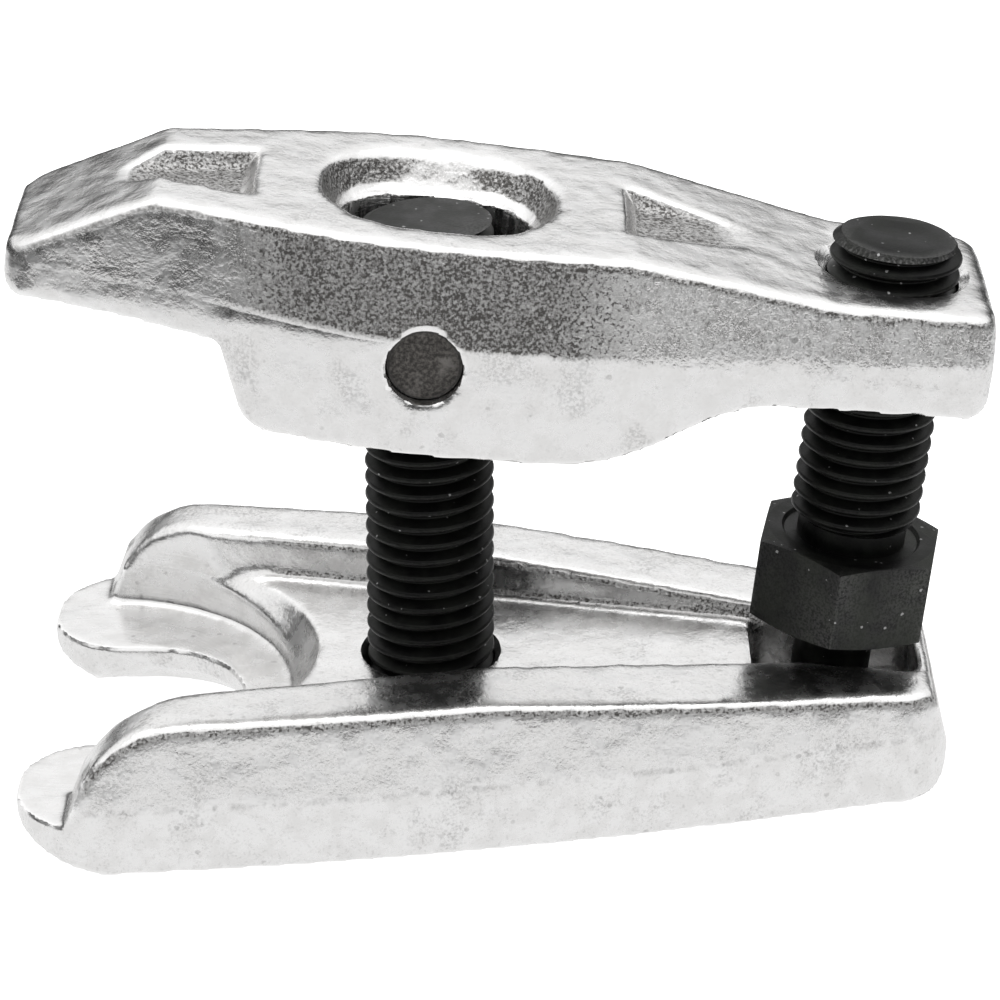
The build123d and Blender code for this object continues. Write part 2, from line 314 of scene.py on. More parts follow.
@dataclass(frozen=True)
class ForgedSkin:
    """How a sharp solid gets the rounded edges and uneven skin of a forging, in millimetres."""

    voxel: float
    rounds: int
    lump: float = 0.22
    lump_width: float = 5.0
    edge_rounds: int = 24
    edge_reach: int = 3

    def lay_on(self, obj: bpy.types.Object, worn: FaceTest) -> None:
        """Remesh, round and dent an object.

        Args:
            obj: The object.
            worn: Tells from a face's centre and normal whether it lies on an edge that is well rounded.
        """
        apply_modifier(
            obj, "REMESH", mode="VOXEL", voxel_size=self.voxel * MM, adaptivity=0.0, use_smooth_shade=True
        )
        apply_modifier(obj, "SMOOTH", factor=0.5, iterations=self.rounds)
        with editing(obj, worn):
            for _ in range(self.edge_reach):
                bpy.ops.mesh.select_more()
        edges = obj.vertex_groups.new(name="worn_edges")
        edges.add([vertex.index for vertex in obj.data.vertices if vertex.select], 1.0, "REPLACE")
        apply_modifier(obj, "SMOOTH", factor=0.5, iterations=self.edge_rounds, vertex_group=edges.name)
        obj.vertex_groups.clear()
        lumps = bpy.data.textures.new("forging_lumps", "CLOUDS")
        lumps.noise_scale = self.lump_width * MM
        lumps.noise_depth = 2
        apply_modifier(
            obj, "DISPLACE", texture=lumps, texture_coords="LOCAL", strength=self.lump * MM, mid_level=0.5
        )


@dataclass(frozen=True)
class Thread:
    """A right-hand metric thread on the Z axis, in millimetres."""

    major: float = 9.0
    root: float = 7.47
    sunk: float = 7.2
    pitch: float = 2.5
    crest_half: float = 0.26
    crest_round: float = 0.17
    steps: int = 64

    def rod(self, name: str, low: float, high: float) -> bpy.types.Object:
        """Make a threaded rod that runs a turn past each end, to be cut to its envelope.

        Args:
            name: The new object's name.
            low: Height of the rod's lower end.
            high: Height of its upper end.

        Returns:
            The rod.
        """
        turns = math.ceil((high - low) / self.pitch) + 2
        foot = low - self.pitch
        depth = self.major - self.sunk
        foot_half = self.crest_half + depth * math.tan(math.radians(30.0))
        bpy.ops.object.select_all(action="DESELECT")
        bpy.ops.mesh.primitive_plane_add(size=1.0, rotation=(math.radians(90.0), 0.0, 0.0))
        ridge = bpy.context.active_object
        ridge.name = name
        settle(ridge)
        for vertex in ridge.data.vertices:
            outer = vertex.co.x > 0
            half = self.crest_half if outer else foot_half
            vertex.co.z = math.copysign(half * MM, vertex.co.z) + foot * MM
            vertex.co.x = (self.major if outer else self.sunk) * MM
        pick(ridge)
        bpy.ops.object.mode_set(mode="EDIT")
        bpy.ops.mesh.select_all(action="DESELECT")
        bpy.ops.object.mode_set(mode="OBJECT")
        for vertex in ridge.data.vertices:
            vertex.select = vertex.co.x > self.root * MM
        bpy.ops.object.mode_set(mode="EDIT")
        bpy.ops.mesh.select_mode(type="VERT")
        bpy.ops.mesh.bevel(offset=self.crest_round * MM, affect="VERTICES")
        bpy.ops.mesh.select_all(action="SELECT")
        bpy.ops.mesh.delete(type="ONLY_FACE")
        bpy.ops.object.mode_set(mode="OBJECT")
        apply_modifier(
            ridge,
            "SCREW",
            axis="Z",
            angle=math.tau,
            screw_offset=self.pitch * MM,
            iterations=turns,
            steps=self.steps,
            render_steps=self.steps,
            use_smooth_shade=True,
        )
        with editing(ridge):
            bpy.ops.mesh.fill_holes(sides=8)
            bpy.ops.mesh.select_all(action="SELECT")
            bpy.ops.mesh.normals_make_consistent(inside=False)
        core = cylinder("core", self.root, foot - self.pitch, foot + (turns + 1) * self.pitch, self.steps)
        combine(core, ridge, Cut.JOIN)
        core.name = name
        return core


# --- Shaders ---

Value = Union[float, "Wire"]


class Wire:
    """A shader socket with the arithmetic operators."""

    def __init__(self, paint: "Paint", socket: bpy.types.NodeSocket) -> None:
        """Wrap an output socket of a material's node tree."""
        self.paint = paint
        self.socket = socket

    def _math(self, operation: str, first: Value, second: Value, clamp: bool = False) -> "Wire":
        """Add a Math node.

        Args:
            operation: The node's operation.
            first: Its first number.
            second: Its second number.
            clamp: Whether the result is kept between 0 and 1.

        Returns:
            The node's result.
        """
        settings = {"operation": operation, "use_clamp": clamp}
        return self.paint.node("ShaderNodeMath", settings, {0: first, 1: second})

    def __add__(self, other: Value) -> "Wire":
        """Add."""
        return self._math("ADD", self, other)

    def __sub__(self, other: Value) -> "Wire":
        """Take away."""
        return self._math("SUBTRACT", self, other)

    def __rsub__(self, other: Value) -> "Wire":
        """Take this away from a number."""
        return self._math("SUBTRACT", other, self)

    def __mul__(self, other: Value) -> "Wire":
        """Multiply."""
        return self._math("MULTIPLY", self, other)

    def __abs__(self) -> "Wire":
        """Drop the sign."""
        return self._math("ABSOLUTE", self, 0.0)

    __radd__ = __add__
    __rmul__ = __mul__

    def lesser(self, other: Value) -> "Wire":
        """Take the smaller of two values."""
        return self._math("MINIMUM", self, other)

    def clamped(self) -> "Wire":
        """Keep between 0 and 1."""
        return self._math("ADD", self, 0.0, clamp=True)

    def step(self, low: float, high: float) -> "Wire":
        """Rise smoothly from 0 at low to 1 at high, or fall where low is the larger.

        Args:
            low: The value that becomes 0.
            high: The value that becomes 1.

        Returns:
            The step.
        """
        settings = {"interpolation_type": "SMOOTHSTEP", "clamp": True}
        values = {"Value": self, "From Min": low, "From Max": high}
        return self.paint.node("ShaderNodeMapRange", settings, values)

    def within(self, low: float, high: float, blur: float) -> "Wire":
        """Give 1 between two values and 0 outside, with soft sides."""
        return self.step(low - blur, low + blur) * self.step(high + blur, high - blur)


class Paint:
    """A material under construction. Its patterns lie on the piece's own coordinates, in millimetres."""

    def __init__(self, name: str, lie: Matrix = Matrix.Identity(4)) -> None:
        """Start a material.

        Args:
            name: Its name.
            lie: The frame that its coordinates are counted in.
        """
        self.material = bpy.data.materials.new(name)
        self.material.use_nodes = True
        self.tree = self.material.node_tree
        self.tree.nodes.clear()
        place = self.node("ShaderNodeTexCoord", {}, {}, "Object")
        values = {
            "Vector": place,
            "Location": tuple(lie.to_translation()),
            "Rotation": tuple(lie.to_euler()),
            "Scale": (MM, MM, MM),
        }
        self.place = self.node("ShaderNodeMapping", {"vector_type": "TEXTURE"}, values)
        self.x, self.y, self.z = (
            self.node("ShaderNodeSeparateXYZ", {}, {0: self.place}, axis) for axis in ("X", "Y", "Z")
        )
        self.normal = self.node("ShaderNodeNewGeometry", {}, {}, "Normal")
        self.edge = self.node("ShaderNodeNewGeometry", {}, {}, "Pointiness")

    def node(self, kind: str, settings: dict, values: dict, output: Union[str, int] = 0) -> Wire:
        """Add a node, set it, and connect or fill its inputs.

        Args:
            kind: The node's type.
            settings: Its properties, set first.
            values: Its inputs by name or number, each a number, a colour or a Wire.
            output: The output that is wanted.

        Returns:
            That output.
        """
        made = self.tree.nodes.new(kind)
        for key, value in settings.items():
            setattr(made, key, value)
        for key, value in values.items():
            if isinstance(value, Wire):
                self.tree.links.new(value.socket, made.inputs[key])
            else:
                made.inputs[key].default_value = value
        return Wire(self, made.outputs[output])

    def noise(self, size: float, detail: float = 2.0, rough: float = 0.5, at: Optional[Wire] = None) -> Wire:
        """Give soft noise round 0.5.

        Args:
            size: Width of its features in millimetres.
            detail: How many finer layers it has.
            rough: How strong they are.
            at: The coordinates; the piece's own if None.

        Returns:
            The noise's value.
        """
        values = {"Vector": at or self.place, "Scale": 1.0 / size, "Detail": detail, "Roughness": rough}
        return self.node("ShaderNodeTexNoise", {}, values, 0)

    def specks(self, cell: float, share: float) -> Wire:
        """Give scattered specks, most of them irregular.

        Args:
            cell: The mean distance between specks in millimetres.
            share: A speck's radius over that distance.

        Returns:
            1 inside a speck and 0 outside.
        """
        values = {"Vector": self.place, "Scale": 1.0 / cell}
        far = self.node("ShaderNodeTexVoronoi", {"feature": "F1"}, values)
        ragged = far + self.noise(cell * 0.25, 2.0) * 0.3 - 0.15
        return ragged.step(share, share * 0.5)

    def stretched(self, size: Sequence[float]) -> Wire:
        """Give the coordinates divided by three lengths, for a pattern with a direction."""
        sizes = {"Vector": self.place, "Scale": tuple(size)}
        return self.node("ShaderNodeMapping", {"vector_type": "TEXTURE"}, sizes)

    def facing(self, direction: Vector) -> Wire:
        """Give how far the surface faces a direction, from -1 to 1."""
        values = {0: self.normal, 1: tuple(direction)}
        return self.node("ShaderNodeVectorMath", {"operation": "DOT_PRODUCT"}, values, "Value")

    def radius_from(self, x: float, y: float) -> Wire:
        """Give the distance from an upright line."""
        flat = self.node("ShaderNodeCombineXYZ", {}, {"X": self.x - x, "Y": self.y - y})
        return self.node("ShaderNodeVectorMath", {"operation": "LENGTH"}, {0: flat}, "Value")

    def joined(self, x: Value, y: Value, z: Value) -> Wire:
        """Make coordinates from three values."""
        return self.node("ShaderNodeCombineXYZ", {}, {"X": x, "Y": y, "Z": z})

    def blend(self, mask: Value, first: Union[Wire, tuple], second: Union[Wire, tuple]) -> Wire:
        """Blend two colours by a mask."""
        return self.node("ShaderNodeMix", {"data_type": "RGBA"}, {0: mask, 6: first, 7: second}, 2)

    def bump(self, height: Wire, depth: float) -> Wire:
        """Turn a height of 0 to 1 into a bumped normal, depth millimetres deep."""
        values = {"Strength": 1.0, "Distance": depth * MM, "Height": height}
        return self.node("ShaderNodeBump", {}, values)

    def surface(self, **inputs: object) -> bpy.types.Material:
        """Close the material with a Principled shader.

        Args:
            **inputs: The shader's inputs, with _ for a space in each name.

        Returns:
            The material.
        """
        values = {key.replace("_", " "): value for key, value in inputs.items()}
        shader = self.node("ShaderNodeBsdfPrincipled", {}, values)
        output = self.tree.nodes.new("ShaderNodeOutputMaterial")
        self.tree.links.new(shader.socket, output.inputs["Surface"])
        return self.material


def grey(level: float, warmth: float = 0.0) -> tuple[float, float, float, float]:
    """Give a grey of one brightness, a little warm or cold."""
    return (level * (1.0 + warmth), level, level * (1.0 - warmth), 1.0)


@dataclass(frozen=True)
class Places:
    """Where a forging is rough, grimy or darkened by painted reflection, milled, or kept from edge wear and
    painted edge highlight, each 0 to 1, and its tool lines.
    """

    rough: Value
    grime_and_dark_reflection: Value
    milled: Value = 0.0
    tool_lines: Value = 0.0
    kept_from_wear_and_highlight: Value = 0.0


@dataclass(frozen=True)
class ZincPlate:
    """Zinc plate on a forging: bright, mottled, with dark grains in the pits, painted shade in concave spots,
    and convex edges lightened partly as burnish and partly as painted highlight.
    """

    name: str
    lie: Matrix
    pits: float = 0.45
    bright: float = 0.78
    smudged: float = 0.45

    def material(self, places: Callable[[Paint], "Places"]) -> bpy.types.Material:
        """Make the material.

        Args:
            places: Gives, for the paint, where the forging is rough, milled, and grimy or darkened by painted
                reflection.

        Returns:
            The material.
        """
        paint = Paint(self.name, self.lie)
        where = places(paint)
        rough = where.rough
        clouds = paint.noise(9.0, 5.0, 0.6)
        grain = paint.noise(0.42, 3.0, 0.6)
        pebbles = paint.noise(0.95, 3.0, 0.6)
        flakes = paint.noise(3.4, 4.0, 0.6)
        # Painted highlight with burnish wear: convex edges, found by pointiness, are lightened and kept clean
        # of grime and specks, except where kept from wear.
        edge = paint.edge.step(0.515, 0.56) * (1.0 - where.kept_from_wear_and_highlight)
        # Painted shade: concave spots, found by pointiness, are darkened.
        painted_hollow_shade = paint.edge.step(0.485, 0.44)
        smudge = clouds.step(0.53, 0.66) * grain.step(0.38, 0.62)
        dark_grains = grain.step(0.50, 0.62) * pebbles.step(0.40, 0.58)
        # Darkening mask: smudges, dark grains and roughness, plus the painted shade in concave spots and the
        # grime and painted dark reflection that places give.
        grime_and_painted_shade = smudge * self.smudged + dark_grains * (rough * 0.85 + 0.05) + rough * 0.12
        grime_and_painted_shade = grime_and_painted_shade + painted_hollow_shade * 0.15 + where.grime_and_dark_reflection * (grain.step(0.30, 0.62) * 0.5 + 0.35)
        grime_and_painted_shade = (grime_and_painted_shade * (1.0 - where.milled * 0.8) * (1.0 - edge * 0.85)).clamped()
        speck = paint.specks(3.1, 0.15) * clouds.step(0.38, 0.58) * (1.0 - edge) * (rough * 0.7 + 0.3)
        light = grey(self.bright, 0.004)
        colour = paint.blend(flakes.step(0.36, 0.62), grey(self.bright * 0.91, 0.008), light)
        colour = paint.blend(grime_and_painted_shade, colour, grey(0.10, 0.04))
        colour = paint.blend(speck * 0.75, colour, grey(0.07, 0.05))
        # Painted highlight with burnish wear: convex edges blend towards near white.
        colour = paint.blend(edge * 0.7, colour, grey(0.94, 0.003))
        gloss = 0.21 + flakes.step(0.35, 0.65) * 0.08 + grime_and_painted_shade * 0.16 + rough * 0.05 - edge * 0.04
        coarse = flakes * (rough * 0.5 + 0.28) + pebbles * (rough * 1.3 + 0.10) + grain * (rough * 0.5 + 0.05)
        relief = coarse * (1.0 - where.milled * 0.85) + where.tool_lines * where.milled * 0.10 - speck * 0.06
        return paint.surface(
            Base_Color=colour, Metallic=1.0, Roughness=gloss.clamped(), Normal=paint.bump(relief, self.pits)
        )


@dataclass(frozen=True)
class BlackOxide:
    """Black oxide on turned steel: near black, with rubbed crests."""

    name: str
    lie: Matrix
    rubbed: float = 0.5
    brushed: bool = False
    tone: float = 1.0

    def material(self) -> bpy.types.Material:
        """Make the material."""
        paint = Paint(self.name, self.lie)
        clouds = paint.noise(4.0, 4.0, 0.6)
        grain = paint.noise(0.35, 3.0, 0.6)
        lines = paint.noise(1.0, 2.0, 0.5, paint.stretched((0.16, 0.16, 7.0)))
        edge = paint.edge.step(0.53, 0.62) * grain.step(0.35, 0.60)
        dark, olive = grey(0.006 * self.tone), (0.012 * self.tone, 0.013 * self.tone, 0.011 * self.tone, 1.0)
        colour = paint.blend(clouds.step(0.35, 0.65), dark, olive)
        colour = paint.blend(edge * self.rubbed, colour, grey(0.22, 0.01))
        speck = paint.specks(2.1, 0.10)
        colour = paint.blend(speck * 0.8, colour, grey(0.34))
        gloss = 0.33 + clouds.step(0.35, 0.65) * 0.12 + grain * 0.10 - edge * 0.08
        relief = grain * (0.2 if self.brushed else 0.6) + lines * (1.2 if self.brushed else 0.0)
        return paint.surface(
            Base_Color=colour, Metallic=0.8, Roughness=gloss.clamped(), Normal=paint.bump(relief, 0.035)
        )


@dataclass(frozen=True)
class DarkPin:
    """The pin's dark, speckled end face."""

    name: str
    lie: Matrix

    def material(self) -> bpy.types.Material:
        """Make the material."""
        paint = Paint(self.name, self.lie)
        grain = paint.noise(0.5, 4.0, 0.7)
        clouds = paint.noise(3.0, 3.0, 0.6)
        edge = paint.edge.step(0.53, 0.60)
        colour = paint.blend(grain.step(0.40, 0.66), grey(0.035, 0.06), grey(0.13, 0.07))
        colour = paint.blend(clouds.step(0.52, 0.70) * 0.5, colour, grey(0.24, 0.05))
        colour = paint.blend(edge * 0.8, colour, grey(0.55, 0.02))
        gloss = 0.50 + grain.step(0.4, 0.65) * 0.14 - edge * 0.2
        return paint.surface(
            Base_Color=colour, Metallic=0.8, Roughness=gloss.clamped(), Normal=paint.bump(grain, 0.12)
        )


@dataclass(frozen=True)
class BallSteel:
    """The polished thrust ball, with fine rubbed marks."""

    name: str = "ball_steel"

    def material(self) -> bpy.types.Material:
        """Make the material."""
        paint = Paint(self.name)
        marks = paint.noise(0.7, 3.0, 0.6)
        smear = paint.noise(2.0, 2.0)
        colour = paint.blend(smear.step(0.4, 0.62), grey(0.50, 0.01), grey(0.34, 0.03))
        gloss = 0.18 + marks * 0.16
        return paint.surface(Base_Color=colour, Metallic=1.0, Roughness=gloss, Normal=paint.bump(marks, 0.01))


# --- Pieces ---


def finish_piece(obj: bpy.types.Object, body: Body, node: str) -> None:
    """Hang a finished piece on its body, in place of its CAD node.

    Args:
        obj: The piece.
        body: The body that it rides on.
        node: The CAD node that it stands for.
    """
    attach(obj, body.value)
    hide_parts(node)
    log.info("%s: %d faces", obj.name, len(obj.data.polygons))


@dataclass
class Fork:
    """The lower forging: tines, walls, web, pocket and the milled seat. Lengths in millimetres."""

    skin: ForgedSkin = ForgedSkin(voxel=0.62, rounds=3)
    seat_ahead: float = 48.7
    seat_radius: float = 29.2
    tine_level: float = 7.5
    web_level: float = 15.0
    parting_level: float = 10.0
    hole_radius: float = 9.12
    hole_flare: float = 0.75
    hole_drop: float = 0.2
    hole_overcut: float = 3.0
    worn_above_web: float = 0.5
    worn_lean: tuple[float, float] = (0.35, 0.93)

    def build(self) -> bpy.types.Object:
        """Make the forging and drill it.

        Returns:
            The finished fork.
        """
        fork = forging_copy("fork_jaw", "fork_forging")
        self.skin.lay_on(fork, self.on_wall_edge)
        fork.data.materials.append(self.plate())
        drill = turned(
            "drill",
            [
                (-self.hole_overcut, self.hole_radius),
                (self.web_level - self.hole_flare - self.hole_drop, self.hole_radius),
                (self.web_level + self.hole_overcut, self.hole_radius + self.hole_flare + self.hole_overcut),
            ],
        )
        drill.data.materials.append(BlackOxide("fork_hole_shade", BOLT_FRAME, 0.2).material())
        combine(fork, settle(drill, BOLT_FRAME), Cut.AWAY)
        clean(fork)
        smooth_shading(fork, 38.0)
        finish_piece(fork, Body.FORK, "fork_jaw")
        return fork

    def on_wall_edge(self, centre: Vector, normal: Vector) -> bool:
        """Tell whether a face lies on the upper edges of the walls."""
        low, high = self.worn_lean
        return centre.z > (self.web_level + self.worn_above_web) * MM and low < normal.z < high

    def plate(self) -> bpy.types.Material:
        """Make the fork's zinc plate."""

        def places(paint: Paint) -> Places:
            """Tell where the fork is rough, milled and grimy, and where its rounded wall tops carry a painted
            dark reflection.
            """
            reach = paint.radius_from(-self.seat_ahead, 0.0)
            ahead = paint.x.step(-self.seat_ahead + 1.6, -self.seat_ahead + 0.8)
            milled = (reach.step(self.seat_radius + 0.7, self.seat_radius - 0.3) + ahead).clamped()
            milled = milled * paint.z.step(self.tine_level - 0.8, self.tine_level - 0.2)
            rings = paint.noise(1.0, 2.0, 0.5, paint.joined(reach * 3.0, paint.z * 3.0, paint.y * 0.05))
            lean = paint.facing(Vector((0.0, 0.0, 1.0)))
            # Painted dark reflection with some grime: the rounded wall tops, where the normal leans part way
            # up, are darkened.
            wall = lean.within(0.28, 0.58, 0.06) * paint.z.step(self.parting_level, self.web_level + 1.0)
            wall = wall * reach.step(self.seat_radius + 4.0, self.seat_radius + 5.5)
            parting = paint.z.within(self.parting_level - 0.5, self.parting_level + 0.4, 0.35)
            parting = parting * (1.0 - abs(lean).step(0.1, 0.3)) * paint.noise(2.0).step(0.4, 0.6)
            floor = paint.z.within(-5.0, self.web_level - 2.0, 1.5) * lean.step(0.6, 0.9) * (1.0 - milled)
            # The wall-top mask darkens the colour through both the rough and the darkening masks.
            return Places(wall * 0.85 + 0.08, parting * 0.28 + wall * 0.7 + floor * 0.3, milled, rings)

        return ZincPlate("fork_zinc", BOLT_FRAME, pits=0.24, smudged=0.22).material(places)


@dataclass
class Lever:
    """The upper forging: nose, hub, slot, recesses and rear boss. Lengths in millimetres, in its frame."""

    skin: ForgedSkin = ForgedSkin(voxel=0.62, rounds=3)
    top: float = 16.3
    rear_top: float = 11.8
    slot_length: float = 26.2
    slot_width: float = 19.8
    hole_radius: float = 9.12
    hole_flare: float = 1.3
    pin_hole: float = 5.15
    crease: float = 3.3
    crease_slope: float = 1.9
    recess_starts: tuple[float, float] = (24.5, 25.0)
    recess_half: float = 9.0
    hub_span: tuple[float, float] = (-24.0, 22.0)
    hub_blur: float = 8.0
    nose_crest: float = -37.5
    nose_slope: float = 0.497
    rear_crest: float = 26.0
    rear_slope: float = 0.161
    reach: float = 40.0
    worn_above_crease: float = 2.0
    worn_beyond: float = 12.5
    worn_lean: tuple[float, float] = (0.40, 0.93)

    def build(self) -> bpy.types.Object:
        """Make the forging, mill its slot and drill it.

        Returns:
            The finished lever.
        """
        lever = forging_copy("lever_arm", "lever_forging")
        self.skin.lay_on(lever, self.on_top_edge)
        lever.data.materials.append(self.plate())
        bore = slot_block("bore", self.slot_length, self.slot_width, -self.reach, self.reach)
        bore.data.materials.append(self.cut_face("slot_zinc", 0.72))
        combine(lever, settle(bore, LEVER_FRAME), Cut.AWAY)
        flare_foot = self.rear_top - self.hole_flare
        drill = turned(
            "drill",
            [
                (-self.reach, self.hole_radius),
                (flare_foot, self.hole_radius),
                (self.reach, self.hole_radius + self.reach - flare_foot),
            ],
        )
        drill.data.materials.append(self.cut_face("countersink_zinc", 0.80))
        combine(lever, settle(drill, SCREW_FRAME), Cut.AWAY)
        across = cylinder("across", self.pin_hole, -self.reach, self.reach, 96)
        across.data.materials.append(self.cut_face("pin_hole_zinc", 0.5))
        combine(lever, settle(across, LEVER_FRAME @ LAID_DOWN), Cut.AWAY)
        clean(lever)
        smooth_shading(lever, 38.0)
        finish_piece(lever, Body.LEVER, "lever_arm")
        return lever

    def on_top_edge(self, centre: Vector, normal: Vector) -> bool:
        """Tell whether a face lies on the outer upper edges."""
        low, high = self.worn_lean
        height = (centre - PIVOT).dot(LEVER_UP) / MM
        outside = height > self.crease + self.worn_above_crease and abs(centre.y) > self.worn_beyond * MM
        return outside and low < normal.dot(LEVER_UP) < high

    def plate(self) -> bpy.types.Material:
        """Make the lever's zinc plate."""

        def places(paint: Paint) -> Places:
            """Tell where the lever is rough, milled and grimy, and where its rounded top edges carry a
            painted dark reflection.
            """
            crease = self.crease - paint.x * math.tan(math.radians(self.crease_slope))
            lean = paint.facing(LEVER_UP)
            side = (paint.z - crease).step(-0.4, 0.8) * lean.within(0.03, 0.6, 0.06)
            hub = paint.x.within(*self.hub_span, self.hub_blur)
            # Painted dark reflection with some grime: a strip on the rounded top edges, below the highlight,
            # is darkened.
            dark_rim_reflection_and_grime = (paint.z - crease).step(1.0, 3.0) * lean.within(0.32, 0.56, 0.07)
            dark_rim_reflection_and_grime = dark_rim_reflection_and_grime * abs(paint.y).step(11.0, 13.0)
            rear = paint.x.step(8.0, 25.0) * 0.45
            nose_top = self.top + (paint.x - self.nose_crest) * self.nose_slope
            rear_top = self.top - (paint.x - self.rear_crest) * self.rear_slope
            depth = nose_top.lesser(rear_top).lesser(self.top) - paint.z
            along = paint.x - (self.recess_starts[1] - self.recess_starts[0]) / 2
            reach = abs(along).step(self.recess_starts[0] - 0.6, self.recess_starts[0] + 0.6)
            end_wall = abs(paint.facing(LEVER_ALONG)).step(0.35, 0.6)
            inside = reach * abs(paint.y).step(self.recess_half + 0.7, self.recess_half) * (1.0 - end_wall)
            floor = inside * depth.step(0.4, 0.9) * lean.step(0.1, 0.3)
            worn = side * (hub * 0.6 + rear + 0.10)
            grime_and_dark_reflection = floor * 0.75 + side * hub * 0.95 + dark_rim_reflection_and_grime * 0.8
            return Places((worn + floor * 0.8).clamped(), grime_and_dark_reflection.clamped(), kept_from_wear_and_highlight=inside * 0.8)

        return ZincPlate("lever_zinc", LEVER_FRAME, pits=0.34, smudged=0.22).material(places)

    def cut_face(self, name: str, bright: float) -> bpy.types.Material:
        """Make the plate of a milled or drilled face of the lever.

        Args:
            name: The material's name.
            bright: How bright it is.

        Returns:
            The material.
        """

        def places(paint: Paint) -> Places:
            """Say that it is milled all over."""
            lines = paint.noise(1.0, 2.0, 0.5, paint.stretched((2.0, 2.0, 0.22)))
            return Places(0.1, lines * 0.3, 1.0, lines)

        return ZincPlate(name, LEVER_FRAME, bright=bright).material(places)


@dataclass
class EyeBolt:
    """The threaded bolt that stands in the fork. Lengths in millimetres, from the fork's underside."""

    thread: Thread = Thread()
    foot: float = 1.0
    top: float = 81.4
    chamfer: float = 1.2
    head_chamfer: float = 0.8
    pin_level: float = 68.5
    pin_radius: float = 5.05
    crest_room: float = 0.01
    end_depth: float = 0.01

    def build(self) -> bpy.types.Object:
        """Cut the thread, chamfer the ends and drill the eye.

        Returns:
            The finished bolt.
        """
        bolt = self.thread.rod("eye_bolt_thread", self.foot, self.top)
        major = self.thread.major
        clear = major + self.crest_room
        envelope = turned(
            "envelope",
            [
                (self.foot, major - self.chamfer),
                (self.foot + self.chamfer, clear),
                (self.top - self.head_chamfer, clear),
                (self.top, major - self.head_chamfer),
            ],
        )
        combine(bolt, envelope, Cut.KEEP)
        settle(bolt, BOLT_FRAME)
        across = cylinder("across", self.pin_radius, -2 * major, 2 * major, 64)
        eye = BOLT_FRAME @ Matrix.Translation(Vector((0.0, 0.0, self.pin_level * MM)))
        combine(bolt, settle(across, eye @ LAID_DOWN), Cut.AWAY)
        clean(bolt)
        bolt.data.materials.clear()
        bolt.data.materials.append(BlackOxide("eye_bolt_black", BOLT_FRAME).material())
        bolt.data.materials.append(DarkPin("eye_bolt_end_grey", BOLT_FRAME).material())
        for face in bolt.data.polygons:
            face.material_index = int(face.center.z > (self.top - self.end_depth) * MM)
        smooth_shading(bolt)
        finish_piece(bolt, Body.BOLT, "eye_bolt")
        return bolt


